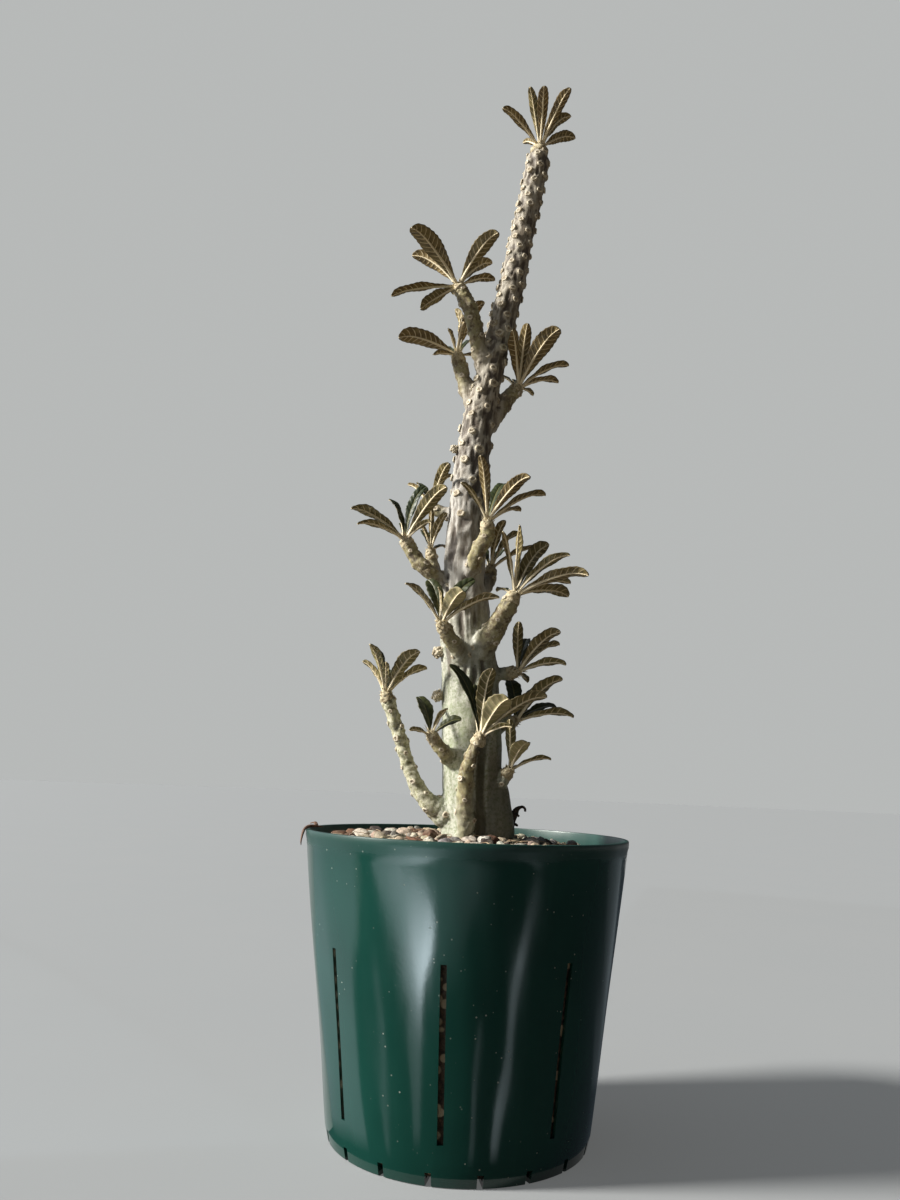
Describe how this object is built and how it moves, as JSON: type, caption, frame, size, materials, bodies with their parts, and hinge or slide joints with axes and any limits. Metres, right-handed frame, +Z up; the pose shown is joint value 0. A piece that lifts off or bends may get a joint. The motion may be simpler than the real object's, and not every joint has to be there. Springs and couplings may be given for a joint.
{
  "type": "potted dorstenia",
  "caption": "Potted succulent shrub with a knobbly upright stem, short side branches and rosettes of wavy leaves, in a round slit nursery pot filled with gravel.",
  "frame": {"origin": "centre of the pot's flat underside", "axes": "+Z up along the pot's axis; the side that the picture shows faces -Y"},
  "size_m": [0.12, 0.12, 0.42],
  "materials": {
    "pot": "dark green semi-gloss moulded plastic with fine streaks and dust",
    "gravel": "dry mixed gravel of pale pumice and red-brown baked clay",
    "bark": "silver-grey to grey-green bark, speckled, with raised pale leaf scars",
    "leaf": "leathery leaves, dark green and glossy above, bronze below with a pale rib and looping veins"
  },
  "bodies": {
    "root": {"pot": "pot", "soil": "gravel", "stem": "bark", "rosette_01": "leaf", "rosette_02": "leaf", "rosette_03": "leaf", "rosette_04": "leaf", "rosette_05": "leaf", "rosette_06": "leaf", "rosette_07": "leaf", "rosette_08": "leaf", "rosette_09": "leaf", "rosette_10": "leaf", "rosette_11": "leaf", "rosette_12": "leaf", "rosette_13": "leaf", "rosette_14": "leaf", "rosette_15": "leaf", "rosette_16": "leaf", "rosette_17": "leaf"}
  },
  "joints": []
}
